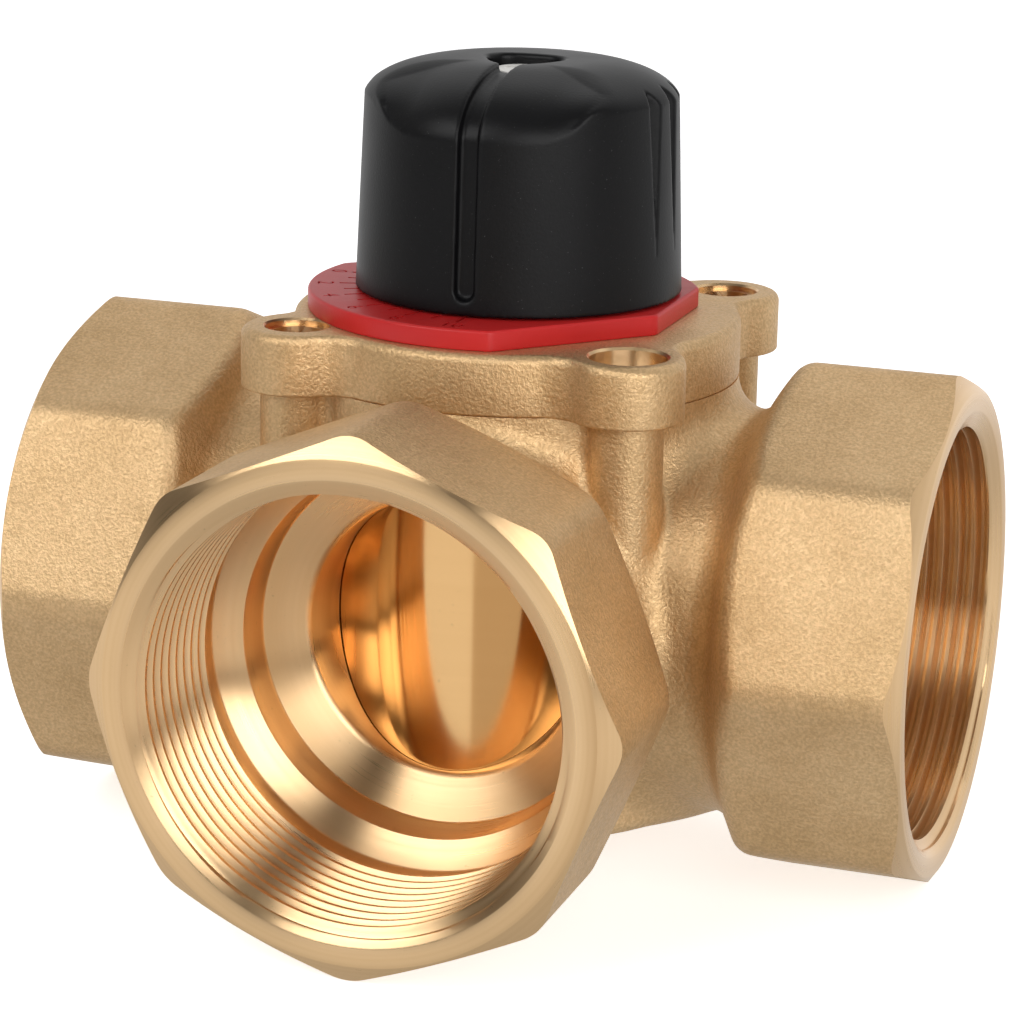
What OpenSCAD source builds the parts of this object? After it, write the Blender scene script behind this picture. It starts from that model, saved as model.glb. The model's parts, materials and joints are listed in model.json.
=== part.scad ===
// Three way rotary mixing valve with three internally threaded ports and a hand knob.
// Millimetres. Origin: centre of the cover's top face. +Z up along the stem,
// X along the straight run (left port at -X, right port at +X), front port at -Y.

/* [Ports] */
// Height of the cover's top face above the port axes
port_drop = 40; // [36:0.5:46]
// Distance from the stem axis to each port's face
port_reach = 64; // [58:0.5:72]
// Width across the flats of each octagonal hub
hub_across = 67.3; // [64:0.1:72]
// Diameter that rounds the hub's cast corners
hub_round_d = 71.9; // [70:0.1:76]
// Length of the full octagon, measured back from the face
hub_len = 22.9; // [18:0.1:28]
// Length of the sloping shoulder behind the octagon
shoulder_len = 4.9; // [3:0.1:8]
// Radius of the round neck between hub and barrel
neck_r = 28; // [26:0.1:30]
// Outer radius of the flat machined ring on the face
face_ring_r = 33.3; // [31:0.1:34]
// Depth of the chamfer that trims the octagon's corners
face_chamfer = 2.06; // [1:0.01:4]
// Minor radius of the G 2 internal thread
thread_r = 28.33; // [28:0.01:29]
// Depth at which the thread wall ends
thread_depth = 21.4; // [18:0.1:24]
// Radius at the mouth of the lead-in chamfer
mouth_r = 30.6; // [29:0.1:32]
// Depth of the lead-in chamfer
mouth_depth = 1.3; // [0.5:0.1:3]
// Radius of the relief groove behind the thread
relief_r = 29.7; // [29:0.1:30.5]
// Depth where the relief groove ends and the first taper starts
relief_end = 25.8; // [24:0.1:27]
// Depth where the first taper ends and its radius there
taper_depth = 28.2; // [27:0.1:31]
taper_r = 26; // [24:0.1:27]
// Depth where the second, shallow taper ends and its radius there
step_depth = 33.3; // [31:0.1:35]
step_r = 25.4; // [23:0.1:26]
// Depth and radius where the inner face meets the port opening
seat_depth = 35.5; // [34:0.1:37]
seat_r = 20; // [19:0.1:22]
// Radius of the round opening into the chamber, and the radius at its outer end
port_r = 18.4; // [16:0.1:20]
port_entry_r = 19.3; // [18:0.1:20]
// Length over which the opening narrows, and length of its rounded rim
port_taper = 8; // [4:0.5:10]
seat_rim = 0.6; // [0.3:0.1:1.5]

/* [Body] */
// Radius of the central barrel and of the cover's disc
barrel_r = 31; // [30:0.1:34]
// Height of the cover above the body's parting face
cover_t = 8.3; // [6:0.1:12]
// Bottom of the barrel, below the cover's top face
barrel_bottom = 68; // [66:0.1:72]
// Radius of the rotor chamber
chamber_r = 27.3; // [26:0.1:28]
// Depth of the chamber floor below the cover's top face
chamber_depth = 63.5; // [61:0.1:66]
// Distance of each screw column from the stem axis, along X and along Y
column_pos = 23.4; // [22:0.1:26]
// Radius of a screw column
column_r = 5; // [4:0.1:7]
// Height above the port axes where a column's taper starts
column_foot = 6; // [0:0.5:14]
// Length of the taper at a column's foot
column_taper = 9; // [4:0.5:14]
// Depth of the tapped holes in the columns
tap_depth = 13; // [8:0.5:18]
// Radius of the tapped holes that hold the cover screws
tap_r_cover = 2.1; // [2:0.05:3]
// Radius of the tapped holes under the open, stepped pair
tap_r_open = 2.5; // [2:0.05:3]
// Radius and depth of the pocket for the lower bush
pocket_r = 6.5; // [5:0.1:8]
pocket_depth = 2.5; // [2:0.1:3]

/* [Cover] */
// Radius of the corner lobes
lobe_r = 7.6; // [7:0.1:9]
// Radius of the fillets between lobe and disc
lobe_fillet = 6; // [3:0.5:10]
// Radius and depth of the plain counterbores over the cover screws
plain_r = 5.2; // [4.5:0.1:6]
plain_depth = 6.3; // [4:0.1:7]
// Radius and depth of the shallow step in the open pair of holes
step_hole_r = 4.4; // [4:0.1:5]
step_hole_depth = 0.9; // [0.5:0.1:3]
// Clearance hole radius of the open pair
open_r = 3.3; // [3:0.05:4]
// Clearance hole radius under the cover screws
screw_pass_r = 2.75; // [2.6:0.05:3]
// Radius of the cover's spigot in the chamber
spigot_r = 27.15; // [26:0.05:27.2]
// Length of the spigot
spigot_len = 8; // [6:0.1:10]
// Top and bottom of the spigot's seal groove, below the cover's top face
spigot_groove_top = 10.7; // [9:0.1:12]
spigot_groove_bottom = 13.3; // [12:0.1:15]
// Section radius of the spigot seal
spigot_seal_r = 1.1; // [0.8:0.1:1.5]

/* [Stem] */
// Radius of the stem
stem_r = 6; // [5:0.1:8]
// Radial running clearance around turning parts
running = 0.05; // [0.02:0.01:0.1]
// Outer radius and length of the stem bush
bush_r = 8; // [7:0.1:10]
bush_len = 7; // [5:0.1:8]
// Depth of the bush's top below the cover's top face
bush_sink = 0.3; // [0.1:0.1:1]
// Height of the stem's top above the cover's top face
stem_top = 20; // [16:0.5:26]
// Radius of the stem's upper end, and the distance from axis to its flat
drive_r = 5; // [4:0.1:6]
drive_flat = 3.8; // [3:0.1:5]
// Height where the narrower upper end begins
drive_start = 3; // [2:0.1:5]
// Depths of the two stem seals below the cover's top face
seal_depths = [10.8, 14];
// Section radius of a stem seal, and the width of its groove
stem_seal_r = 0.65; // [0.5:0.05:1]
seal_groove_w = 1.9; // [1.5:0.1:3]
// Retaining ring: height of its underside, thickness and outer radius
ring_z = 0.4; // [0.2:0.1:1]
ring_t = 1; // [0.8:0.1:1.5]
ring_r = 8.4; // [7:0.1:10]
// Half width of the ring's open side
ring_gap = 3.7; // [2:0.1:5]
// Radius of the ring's groove in the stem
ring_groove_r = 5.3; // [4.5:0.1:5.6]
// Depth of the tapped hole in the stem's top
stem_tap = 12; // [8:0.5:16]
// Radius and length of the cross pin through stem and rotor
pin_r = 1.5; // [1:0.1:2.5]
pin_len = 19; // [14:0.5:22]

/* [Rotor] */
// Outer radius of the rotor
rotor_r = 27; // [26:0.1:27.2]
// Wall thickness of the closing segment
rotor_wall = 5; // [3:0.1:8]
// Angle covered by the closing segment
rotor_angle = 97; // [90:1:110]
// Direction of the segment's middle at rest
rotor_dir = -90; // [-180:1:180]
// Top and bottom of the rotor, below the cover's top face
rotor_top = 17.8; // [17:0.1:19]
rotor_bottom = 63.1; // [60:0.1:63.4]
// Thickness of the rotor's two end discs
disc_t = 3.4; // [2:0.1:4]
// Radius and length of the hub under the top disc
rotor_hub_r = 10; // [8:0.1:12]
rotor_hub_len = 6; // [4:0.1:10]
// Height of the stem's lower end above the hub's underside
stem_lift = 1; // [0.5:0.1:3]
// Radius and length of the lower pivot
pivot_r = 4; // [3:0.1:5]
pivot_len = 2.2; // [1.5:0.1:2.6]
// Outer radius and thickness of the thrust washer, and its play round the stem
thrust_r = 20; // [12:0.5:26]
thrust_t = 1.3; // [0.8:0.1:1.5]
thrust_play = 0.3; // [0.2:0.1:0.6]

/* [Dial] */
// Thickness of the dial plate
dial_t = 2.8; // [2:0.1:4]
// Radius of the graduated side
dial_r = 29.2; // [28:0.1:31]
// Radius of the plain side
dial_back_r = 25.3; // [24:0.1:28]
// Distance from the axis to the slanted and to the straight cut edges
dial_slant = 23.7; // [22:0.1:26]
dial_flat = 23.1; // [22:0.1:26]
// Directions of the slanted cuts, of the straight cuts and of the plain side's middle
slant_dirs = [-42.5, 132.5];
flat_dirs = [0, 90];
dial_back_dir = 45; // [0:1:90]
// Radius of the hole round the stem
dial_hole_r = 11; // [10:0.1:13]
// Inner and outer radius of the tick marks
tick_in = 21.9; // [20:0.1:24]
tick_out = 24.6; // [23:0.1:26]
// Width and depth of a tick mark
tick_w = 0.5; // [0.3:0.1:1]
tick_depth = 0.4; // [0.2:0.1:1]
// Number of divisions on the scale, and the direction of its last mark
scale_steps = 10; // [5:1:20]
scale_end = -90; // [-180:1:180]
// Angle covered by the scale
scale_angle = 90; // [60:1:120]
// Radius of the stop pin, its distance from the axis and its height
stop_r = 1.5; // [1:0.1:2.5]
stop_pos = 15; // [13:0.1:18]
stop_top = 9; // [6:0.1:14]
// Depth of the stop pin's hole in the cover, and the play round the pin in the dial
stop_depth = 4; // [3:0.1:6]
stop_play = 0.2; // [0.1:0.1:0.5]

/* [Knob] */
// Height of the knob's underside above the cover's top face
knob_z = 3.2; // [3:0.1:5]
// Radius at the underside and at the top of the wall
knob_r = 22.6; // [20:0.1:26]
knob_top_r = 21.6; // [19:0.1:25]
// Height of the top of the wall, and of the rim's outer dome edge
knob_wall_z = 28.6; // [24:0.1:34]
knob_rim_z = 31.4; // [26:0.1:36]
knob_rim_r = 20.2; // [18:0.1:24]
// Height and radius of the dome's flat crown
knob_crown_z = 34.6; // [30:0.1:40]
knob_crown_r = 11; // [3:0.1:14]
// Radius of the hollow inside the skirt, and the height of its roof
skirt_r = 19.4; // [16:0.1:20]
skirt_roof = 20; // [16:0.1:21]
// Radius of the central boss and of the hub insert
boss_r = 10.6; // [9:0.1:13]
insert_r = 8; // [6:0.1:10]
// Bottom and top of the hub insert
insert_bottom = 4.2; // [3.5:0.1:8]
insert_top = 21.5; // [16:0.1:24]
// Thickness of the two stop ribs in the skirt
rib_t = 3; // [2:0.1:5]
// Height of the ribs' lower edges above the knob's underside
rib_lift = 1; // [0.5:0.1:3]
// Free play between stop pin and rib at the end of travel, degrees
rib_play = 0.6; // [0.2:0.1:2]
// Screw recess in the crown: radius of its round part, of its triangle's corners, floor height
recess_r = 5.3; // [4:0.1:7]
recess_corner_r = 9.3; // [8:0.1:11]
recess_floor = 29.6; // [27:0.1:32]
// Width, depth and lower end of the pointer groove
groove_w = 2.9; // [2:0.1:5]
groove_depth = 1.3; // [0.5:0.1:3]
groove_bottom = 5.6; // [4:0.1:10]
// Sphere that scoops out the finger hollow round the pointer
scoop_r = 44; // [30:0.5:60]
scoop_out = 40.8; // [30:0.1:60]
scoop_up = 63; // [50:0.1:80]
// Play round the screw, the retaining ring and the stem's end
fit_play = 0.4; // [0.2:0.1:0.8]
// Angles of the grip notches on each side, and the depth of a notch
notch_angles = [-15, 0, 15];
notch_depth = 1.5; // [0.5:0.1:3]
// Height of a notch's lower tip
notch_tip = 10.5; // [6:0.1:20]

/* [Screws] */
// Head radius, head height and shank radius of a cover screw
cover_head_r = 4.25; // [4:0.05:5]
cover_head_h = 3.3; // [2.5:0.1:5]
cover_shank_r = 2.05; // [1.9:0.05:2.5]
cover_shank_len = 14; // [10:0.5:18]
// Width across the flats of the hexagon sockets
socket_w = 3; // [2.5:0.1:5]
socket_depth = 1.8; // [1:0.1:3]
// Knob screw: head radius, head height, shank radius and length
knob_head_r = 4.2; // [3.5:0.1:4.6]
knob_head_h = 2.8; // [1.5:0.1:4]
knob_shank_r = 2.45; // [2:0.05:3]
knob_shank_len = 19; // [14:0.5:24]
// Washer under the knob screw: outer radius, thickness and play round the screw
washer_r = 4.5; // [4:0.1:4.6]
washer_t = 1; // [0.5:0.1:2]
washer_play = 0.1; // [0.1:0.1:0.5]
// Knob screw's crossed slots: width, depth and length of the shorter one
slot_w = 1.2; // [0.8:0.1:2]
slot_depth = 0.9; // [0.5:0.1:1.5]
slot_len = 5; // [3:0.1:7]

/* [Hidden] */
eps = 0.02;
over = 1;
port_dirs = [0, 180, -90];
quarter = 90;
half_square = 45;
oct_n = 8;
hex_n = 6;
tri_n = 3;
port_z = -port_drop;
hub_r = hub_across / 2 / cos(180 / oct_n);
neck_end = port_reach - hub_len - shoulder_len;
slip = 0.02;
part_z = -cover_t;
spigot_z = -cover_t - spigot_len;
chamber_z = -chamber_depth;
barrel_z = -barrel_bottom;
pocket_z = chamber_z - pocket_depth;
groove_h = spigot_groove_bottom - spigot_groove_top;
spigot_groove_r = spigot_r - 2 * spigot_seal_r;
head_z = -plain_depth;
segment_top = -rotor_top - disc_t;
segment_bottom = -rotor_bottom + disc_t;
hub_bottom = segment_top - rotor_hub_len;
pin_z = segment_top - rotor_hub_len / 2;
stem_bottom = hub_bottom + stem_lift;
stop_dir = 90;
stop_half = (stop_r + rib_t / 2) / stop_pos * 180 / PI + rib_play;
fillet_dist = barrel_r + lobe_fillet;
lobe_dist = column_pos * sqrt(2);
fillet_turn = acos((pow(fillet_dist, 2) + pow(lobe_dist, 2) - pow(lobe_r + lobe_fillet, 2))
    / (2 * fillet_dist * lobe_dist));
screw_signs = [[1, -1], [-1, 1]];
open_signs = [[-1, -1], [1, 1]];
corner_signs = [[1, -1], [-1, 1], [-1, -1], [1, 1]];
lobe_dirs = [45 : 90 : 315];
knob_draft = atan((knob_r - knob_top_r) / (knob_wall_z - knob_z));
notch_tilt = atan(notch_depth / (knob_wall_z - notch_tip)) + knob_draft;
notch_start_r = knob_r - (notch_tip - knob_z) * tan(knob_draft);
brass_cast = [0.72, 0.57, 0.36];
brass_cut = [0.85, 0.70, 0.48];
black = [0.10, 0.10, 0.10];
red = [0.72, 0.08, 0.07];
steel = [0.62, 0.62, 0.62];
seal_black = [0.06, 0.06, 0.06];
bush_white = [0.86, 0.85, 0.80];
fine = 96;
round_fn = 64;

// Turns a shape drawn along +Z from the stem axis into a port along +X, -X or -Y.
module to_port(dir) {
    translate([0, 0, port_z]) rotate([0, 0, dir]) rotate([0, quarter, 0]) children();
}

// Outer casting of one port: neck, sloping shoulder, octagon and face chamfer.
module port_outside() {
    cylinder(r = neck_r, h = port_reach - hub_len, $fn = fine);
    intersection() {
        cylinder(r = hub_r, h = port_reach, $fn = oct_n);
        cylinder(d = hub_round_d, h = port_reach, $fn = fine);
        rotate_extrude($fn = fine) polygon([
            [0, neck_end], [neck_r, neck_end], [hub_r, port_reach - hub_len],
            [hub_r, port_reach - face_chamfer], [face_ring_r, port_reach], [0, port_reach]]);
    }
}

// Everything machined out of one port, from its mouth to the rotor chamber.
module port_inside() {
    rotate_extrude($fn = fine) polygon([
        [0, 0], [port_r, 0], [port_r, port_reach - seat_depth - seat_rim - port_taper],
        [port_entry_r, port_reach - seat_depth - seat_rim],
        [seat_r, port_reach - seat_depth], [step_r, port_reach - step_depth],
        [taper_r, port_reach - taper_depth],
        [relief_r, port_reach - relief_end],
        [relief_r, port_reach - thread_depth], [thread_r, port_reach - thread_depth],
        [thread_r, port_reach - mouth_depth], [mouth_r, port_reach],
        [mouth_r, port_reach + over], [0, port_reach + over]]);
}

// One screw column with a tapered foot.
module column() {
    translate([0, 0, port_z + column_foot])
        cylinder(r = column_r, h = part_z - port_z - column_foot, $fn = round_fn);
    translate([0, 0, port_z + column_foot - column_taper])
        cylinder(r1 = column_r / 4, r2 = column_r, h = column_taper, $fn = round_fn);
}

module body() {
    color(brass_cast) difference() {
        union() {
            translate([0, 0, barrel_z])
                cylinder(r = barrel_r, h = barrel_bottom - cover_t, $fn = fine);
            for (dir = port_dirs) to_port(dir) port_outside();
            for (s = corner_signs) translate([s[0] * column_pos, s[1] * column_pos, 0]) column();
        }
        translate([0, 0, chamber_z]) cylinder(r = chamber_r, h = chamber_depth, $fn = fine);
        for (dir = port_dirs) to_port(dir) port_inside();
        translate([0, 0, pocket_z]) cylinder(r = pocket_r, h = pocket_depth + over, $fn = round_fn);
        for (s = screw_signs)
            translate([s[0] * column_pos, s[1] * column_pos, part_z - tap_depth])
                cylinder(r = tap_r_cover, h = tap_depth + over, $fn = round_fn);
        for (s = open_signs)
            translate([s[0] * column_pos, s[1] * column_pos, part_z - tap_depth])
                cylinder(r = tap_r_open, h = tap_depth + over, $fn = round_fn);
    }
}

// Outline of the cover: a disc, four lobes and the fillets between them.
module cover_outline() {
    difference() {
        union() {
            circle(r = barrel_r, $fn = fine);
            for (s = corner_signs) translate([s[0] * column_pos, s[1] * column_pos])
                circle(r = lobe_r, $fn = round_fn);
            for (q = lobe_dirs, side = [-1, 1]) polygon([
                [0, 0], [lobe_dist * cos(q), lobe_dist * sin(q)],
                [fillet_dist * cos(q + side * fillet_turn), fillet_dist * sin(q + side * fillet_turn)]]);
        }
        for (q = lobe_dirs, side = [-1, 1])
            translate([fillet_dist * cos(q + side * fillet_turn), fillet_dist * sin(q + side * fillet_turn)])
                circle(r = lobe_fillet, $fn = round_fn);
    }
}

module cover() {
    color(brass_cast) difference() {
        union() {
            translate([0, 0, part_z]) linear_extrude(cover_t) cover_outline();
            translate([0, 0, spigot_z]) cylinder(r = spigot_r, h = spigot_len + eps, $fn = fine);
        }
        translate([0, 0, -spigot_groove_bottom]) difference() {
            cylinder(r = spigot_r + over, h = groove_h, $fn = fine);
            translate([0, 0, -over]) cylinder(r = spigot_groove_r, h = groove_h + 2 * over, $fn = fine);
        }
        translate([0, 0, spigot_z - over])
            cylinder(r = stem_r + running, h = cover_t + spigot_len + 2 * over, $fn = round_fn);
        translate([0, 0, -bush_len]) cylinder(r = bush_r, h = bush_len + over, $fn = round_fn);
        for (s = screw_signs) translate([s[0] * column_pos, s[1] * column_pos, 0]) {
            translate([0, 0, -plain_depth]) cylinder(r = plain_r, h = plain_depth + over, $fn = round_fn);
            translate([0, 0, part_z - over]) cylinder(r = screw_pass_r, h = cover_t + over, $fn = round_fn);
        }
        for (s = open_signs) translate([s[0] * column_pos, s[1] * column_pos, 0]) {
            translate([0, 0, -step_hole_depth])
                cylinder(r = step_hole_r, h = step_hole_depth + over, $fn = round_fn);
            translate([0, 0, part_z - over]) cylinder(r = open_r, h = cover_t + over, $fn = round_fn);
        }
        rotate([0, 0, stop_dir]) translate([stop_pos, 0, -stop_depth])
            cylinder(r = stop_r, h = stop_depth + over, $fn = round_fn);
    }
}

// A seal ring of round section, its outside at r_out, centred at height z.
module seal(r_out, section, z) {
    color(seal_black) translate([0, 0, z])
        rotate_extrude($fn = round_fn) translate([r_out - section, 0]) circle(r = section, $fn = round_fn);
}

module cover_seal() {
    seal(spigot_r, spigot_seal_r, -(spigot_groove_top + spigot_groove_bottom) / 2);
}

module cover_screw(s) {
    color(steel) translate([s[0] * column_pos, s[1] * column_pos, 0]) difference() {
        union() {
            translate([0, 0, head_z]) cylinder(r = cover_head_r, h = cover_head_h, $fn = round_fn);
            translate([0, 0, head_z - cover_shank_len])
                cylinder(r = cover_shank_r, h = cover_shank_len + eps, $fn = round_fn);
        }
        translate([0, 0, head_z + cover_head_h - socket_depth])
            cylinder(d = socket_w / cos(180 / hex_n), h = socket_depth + over, $fn = hex_n);
    }
}

module cover_screw_front() { cover_screw(screw_signs[0]); }

module cover_screw_back() { cover_screw(screw_signs[1]); }

// Half plane towards direction dir, starting at distance d from the axis.
module beyond(dir, d) {
    rotate(dir) translate([d, -dial_r * 2]) square([dial_r * 2, dial_r * 4]);
}

// Dial outline: a graduated arc on one side, straight cuts and a smaller arc on the other.
module dial_outline() {
    difference() {
        circle(r = dial_r, $fn = fine);
        for (dir = slant_dirs) beyond(dir, dial_slant);
        for (dir = flat_dirs) beyond(dir, dial_flat);
        difference() {
            rotate(dial_back_dir) translate([dial_slant / 2, -dial_r]) square([dial_r, dial_r * 2]);
            circle(r = dial_back_r, $fn = fine);
        }
    }
}

module dial_plate() {
    color(red) difference() {
        linear_extrude(dial_t) dial_outline();
        translate([0, 0, -over]) cylinder(r = dial_hole_r, h = dial_t + 2 * over, $fn = round_fn);
        for (i = [0 : scale_steps]) rotate([0, 0, scale_end - scale_angle * i / scale_steps])
            translate([tick_in, -tick_w / 2, dial_t - tick_depth])
                cube([tick_out - tick_in, tick_w, tick_depth + over]);
        rotate([0, 0, stop_dir]) translate([stop_pos, 0, -over])
            cylinder(r = stop_r + stop_play, h = dial_t + 2 * over, $fn = round_fn);
    }
}

module stop_pin() {
    color(steel) rotate([0, 0, stop_dir]) translate([stop_pos, 0, -stop_depth])
        cylinder(r = stop_r, h = stop_depth + stop_top, $fn = round_fn);
}

module stem_bush() {
    color(bush_white) translate([0, 0, -bush_len]) difference() {
        cylinder(r = bush_r, h = bush_len - bush_sink, $fn = round_fn);
        translate([0, 0, -over]) cylinder(r = stem_r + running, h = bush_len + 2 * over, $fn = round_fn);
    }
}

module lower_bush() {
    color(bush_white) translate([0, 0, pocket_z]) difference() {
        cylinder(r = pocket_r, h = pocket_depth, $fn = round_fn);
        translate([0, 0, -over]) cylinder(r = pivot_r + running, h = pocket_depth + 2 * over, $fn = round_fn);
    }
}

module thrust_washer() {
    color(bush_white) translate([0, 0, spigot_z - thrust_t]) difference() {
        cylinder(r = thrust_r, h = thrust_t, $fn = fine);
        translate([0, 0, -over]) cylinder(r = stem_r + thrust_play, h = thrust_t + 2 * over, $fn = round_fn);
    }
}

// Ring-shaped cut of the given inner radius, for grooves in the stem.
module groove(r_in, z, w) {
    translate([0, 0, z]) difference() {
        cylinder(r = stem_r + over, h = w, $fn = round_fn);
        translate([0, 0, -over]) cylinder(r = r_in, h = w + 2 * over, $fn = round_fn);
    }
}

module stem() {
    color(brass_cut) difference() {
        union() {
            translate([0, 0, stem_bottom])
                cylinder(r = stem_r, h = drive_start - stem_bottom, $fn = round_fn);
            difference() {
                translate([0, 0, drive_start - over])
                    cylinder(r = drive_r, h = stem_top - drive_start + over, $fn = round_fn);
                translate([-drive_r * 2, drive_flat, drive_start])
                    cube([drive_r * 4, drive_r * 2, stem_top]);
            }
        }
        for (d = seal_depths)
            groove(stem_r - 2 * stem_seal_r, -d - seal_groove_w / 2, seal_groove_w);
        groove(ring_groove_r, ring_z, ring_t);
        translate([0, 0, stem_top - stem_tap])
            cylinder(r = knob_shank_r, h = stem_tap + over, $fn = round_fn);
        translate([0, 0, pin_z]) rotate([0, quarter, 0])
            cylinder(r = pin_r + slip, h = stem_r * 4, center = true, $fn = round_fn);
    }
}

module stem_seal_upper() { seal(stem_r, stem_seal_r, -seal_depths[0]); }

module stem_seal_lower() { seal(stem_r, stem_seal_r, -seal_depths[1]); }

module retaining_ring() {
    color(steel) translate([0, 0, ring_z]) difference() {
        cylinder(r = ring_r, h = ring_t, $fn = round_fn);
        translate([0, 0, -over]) cylinder(r = ring_groove_r, h = ring_t + 2 * over, $fn = round_fn);
        translate([0, -ring_gap, -over]) cube([ring_r * 2, ring_gap * 2, ring_t + 2 * over]);
    }
}

module rotor() {
    color(brass_cut) difference() {
        union() {
            translate([0, 0, -rotor_bottom]) cylinder(r = rotor_r, h = disc_t, $fn = fine);
            translate([0, 0, segment_top]) cylinder(r = rotor_r, h = disc_t, $fn = fine);
            rotate([0, 0, rotor_dir - rotor_angle / 2]) translate([0, 0, segment_bottom - eps])
                rotate_extrude(angle = rotor_angle, $fn = fine)
                    translate([rotor_r - rotor_wall, 0])
                        square([rotor_wall, segment_top - segment_bottom + 2 * eps]);
            translate([0, 0, hub_bottom])
                cylinder(r = rotor_hub_r, h = rotor_hub_len + eps, $fn = round_fn);
            translate([0, 0, -rotor_bottom - pivot_len])
                cylinder(r = pivot_r, h = pivot_len + eps, $fn = round_fn);
        }
        translate([0, 0, stem_bottom - slip])
            cylinder(r = stem_r + slip, h = stem_top * 2, $fn = round_fn);
        translate([0, 0, pin_z]) rotate([0, quarter, 0])
            cylinder(r = pin_r + slip, h = rotor_hub_r * 4, center = true, $fn = round_fn);
    }
}

module rotor_pin() {
    color(steel) translate([0, 0, pin_z]) rotate([0, quarter, 0])
        cylinder(r = pin_r, h = pin_len, center = true, $fn = round_fn);
}

// Rounded triangular recess for the knob screw.
module recess() {
    translate([0, 0, recess_floor]) intersection() {
        cylinder(r = recess_r, h = knob_crown_z, $fn = round_fn);
        rotate([0, 0, -quarter]) cylinder(r = recess_corner_r, h = knob_crown_z, $fn = tri_n);
    }
}

module knob() {
    color(black) difference() {
        rotate_extrude($fn = fine) polygon([
            [0, knob_z], [knob_r, knob_z], [knob_top_r, knob_wall_z], [knob_rim_r, knob_rim_z],
            [knob_crown_r, knob_crown_z], [0, knob_crown_z]]);
        difference() {
            translate([0, 0, knob_z - over])
                cylinder(r = skirt_r, h = skirt_roof - knob_z + over, $fn = fine);
            translate([0, 0, knob_z - 2 * over])
                cylinder(r = boss_r, h = skirt_roof, $fn = round_fn);
            for (turn = [-stop_half, scale_angle + stop_half])
                rotate([0, 0, stop_dir + turn])
                    translate([boss_r - over, -rib_t / 2, knob_z + rib_lift]) cube([skirt_r, rib_t, skirt_roof]);
        }
        translate([0, 0, knob_z - over])
            cylinder(r = insert_r, h = insert_top - knob_z + over, $fn = round_fn);
        translate([0, 0, knob_z]) cylinder(r = knob_shank_r + fit_play, h = knob_crown_z, $fn = round_fn);
        translate([0, 0, knob_z - over]) cylinder(r = ring_r + fit_play, h = 2, $fn = round_fn);
        recess();
        translate([0, -scoop_out, scoop_up]) sphere(r = scoop_r, $fn = fine);
        intersection() {
            translate([0, -scoop_out, scoop_up]) sphere(r = scoop_r + groove_depth, $fn = fine);
            translate([-groove_w / 2, -knob_r - 2 * over, groove_bottom]) cube([groove_w, knob_r, knob_crown_z]);
        }
        rotate([-knob_draft, 0, 0]) translate([-groove_w / 2, -knob_r - 2 * over, groove_bottom + groove_w / 2])
            cube([groove_w, groove_depth + 2 * over, knob_crown_z]);
        rotate([quarter - knob_draft, 0, 0])
            translate([0, groove_bottom + groove_w / 2, knob_r - groove_depth])
                cylinder(d = groove_w, h = groove_depth + 2 * over, $fn = round_fn);
        for (side = [0, 180], a = notch_angles) rotate([0, 0, side + a])
            translate([notch_start_r, 0, notch_tip]) rotate([0, -notch_tilt, 0]) rotate([0, 0, -half_square])
                cube([notch_depth * 2, notch_depth * 2, knob_crown_z]);
    }
}

module knob_insert() {
    color(brass_cut) difference() {
        translate([0, 0, insert_bottom])
            cylinder(r = insert_r, h = insert_top - insert_bottom, $fn = round_fn);
        difference() {
            translate([0, 0, insert_bottom - over])
                cylinder(r = drive_r, h = stem_top + fit_play - insert_bottom + over, $fn = round_fn);
            translate([-drive_r * 2, drive_flat, insert_bottom - 2 * over])
                cube([drive_r * 4, drive_r * 2, stem_top]);
        }
        translate([0, 0, insert_bottom])
            cylinder(r = knob_shank_r + fit_play, h = knob_crown_z, $fn = round_fn);
    }
}

module knob_washer() {
    color(steel) translate([0, 0, recess_floor]) difference() {
        cylinder(r = washer_r, h = washer_t, $fn = round_fn);
        translate([0, 0, -over]) cylinder(r = knob_shank_r + washer_play, h = washer_t + 2 * over, $fn = round_fn);
    }
}

module knob_screw() {
    color(steel) translate([0, 0, recess_floor + washer_t]) difference() {
        union() {
            cylinder(r = knob_head_r, h = knob_head_h, $fn = round_fn);
            translate([0, 0, -knob_shank_len])
                cylinder(r = knob_shank_r, h = knob_shank_len + eps, $fn = round_fn);
        }
        for (cut = [[0, knob_head_r * 4], [quarter, slot_len]]) rotate([0, 0, cut[0]])
            translate([-cut[1] / 2, -slot_w / 2, knob_head_h - slot_depth])
                cube([cut[1], slot_w, slot_depth + over]);
    }
}

body();
cover();
cover_seal();
cover_screw_front();
cover_screw_back();
dial_plate();
stop_pin();
stem_bush();
lower_bush();
thrust_washer();
stem();
stem_seal_upper();
stem_seal_lower();
retaining_ring();
rotor();
rotor_pin();
knob();
knob_insert();
knob_screw();
knob_washer();
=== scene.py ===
"""Looks of a three way mixing valve: cast brass body and cover, threaded ports, dial and hand knob.

Shapes are worked out in millimetres in the frame of the CAD model and scaled to metres at the end.
Materials, lights and the camera use metres.
"""

import json
import math

import bmesh
import bpy
import numpy as np
import openvdb
from mathutils import Matrix, Vector


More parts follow.
